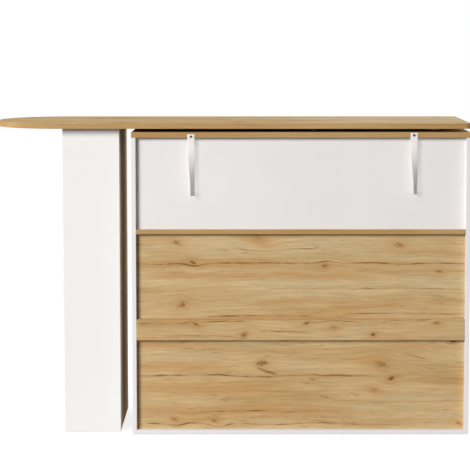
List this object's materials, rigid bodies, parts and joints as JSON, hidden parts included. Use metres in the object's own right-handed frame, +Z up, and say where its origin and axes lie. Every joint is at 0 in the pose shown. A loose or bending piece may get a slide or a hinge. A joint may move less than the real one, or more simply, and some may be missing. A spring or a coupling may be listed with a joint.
{
  "type": "bar cabinet",
  "caption": "Wide bar cabinet with a long half-round-ended bar top that swings on a turntable, its far end carried by a rolling pillar, with open bays above and doors below.",
  "frame": {"origin": "on the floor, under the middle of the bar top", "axes": "+Z up, +X along the bar top towards the swivel, -Y towards the wall, +Y towards the doors"},
  "size_m": [1.6, 0.4636, 1.05],
  "materials": {
    "oak": "knotty oak decor, matt",
    "white_board": "white melamine, satin",
    "webbing": "woven nylon",
    "zinc_steel": "zinc plated",
    "black_ring": "black, satin",
    "nylon": "moulded nylon"
  },
  "bodies": {
    "cabinet": {"cabinet_top": "oak", "fixed_shelf": "oak", "middle_back_panel": "oak", "lower_back_panel": "oak", "back_rail": "oak", "side_panel_left": "white_board", "side_panel_right": "white_board", "bottom_panel": "white_board", "upper_back_panel": "white_board", "upper_partition": "white_board", "lower_partition": "white_board", "loose_shelf_left": "white_board", "loose_shelf_right": "white_board", "tip_strap_left": "webbing", "tip_strap_right": "webbing", "carcass_screws": "zinc_steel", "strap_screws": "zinc_steel", "strap_eyelets": "zinc_steel", "shelf_pins": "zinc_steel", "swivel_balls": "zinc_steel", "swivel_inner_ring": "black_ring", "door_bushes": "nylon", "cabinet_glides": "nylon", "magnet_catch_left": "nylon", "magnet_catch_right": "nylon"},
    "bar_top": {"bar_top_board": "oak", "swivel_outer_ring": "black_ring", "pillar_back_panel": "white_board", "pillar_front_panel": "white_board", "pillar_outer_panel": "oak", "pillar_inner_panel": "oak", "pillar_cap": "white_board", "pillar_base": "white_board", "cap_screws": "zinc_steel", "bracket_screws": "zinc_steel", "roller_bracket_back": "zinc_steel", "roller_bracket_front": "zinc_steel", "roller_axle_back": "zinc_steel", "roller_axle_front": "zinc_steel"},
    "roller_back": {"roller_wheel_back": "nylon"},
    "roller_front": {"roller_wheel_front": "nylon"},
    "door_left": {"door_left": "white_board", "door_pivots_left": "zinc_steel", "door_knob_left": "oak", "door_strike_left": "zinc_steel"},
    "door_right": {"door_right": "white_board", "door_pivots_right": "zinc_steel", "door_knob_right": "oak", "door_strike_right": "zinc_steel"}
  },
  "joints": [
    {"name": "bar_swivel", "type": "hinge", "parent": "cabinet", "child": "bar_top", "pos_m": [0.575, 0, 1.026], "axis": [0, 0, -1], "range_deg": [0, 180]},
    {"name": "roller_back_spin", "type": "hinge", "parent": "bar_top", "child": "roller_back", "pos_m": [-0.467, -0.1, 0.025], "axis": [1, 0, 0], "continuous": true},
    {"name": "roller_front_spin", "type": "hinge", "parent": "bar_top", "child": "roller_front", "pos_m": [-0.467, 0.1, 0.025], "axis": [1, 0, 0], "continuous": true},
    {"name": "door_left_hinge", "type": "hinge", "parent": "cabinet", "child": "door_left", "pos_m": [-0.3045, 0.1955, 0.349], "axis": [0, 0, 1], "range_deg": [0, 90]},
    {"name": "door_right_hinge", "type": "hinge", "parent": "cabinet", "child": "door_right", "pos_m": [0.7745, 0.1955, 0.349], "axis": [0, 0, -1], "range_deg": [0, 90]}
  ]
}
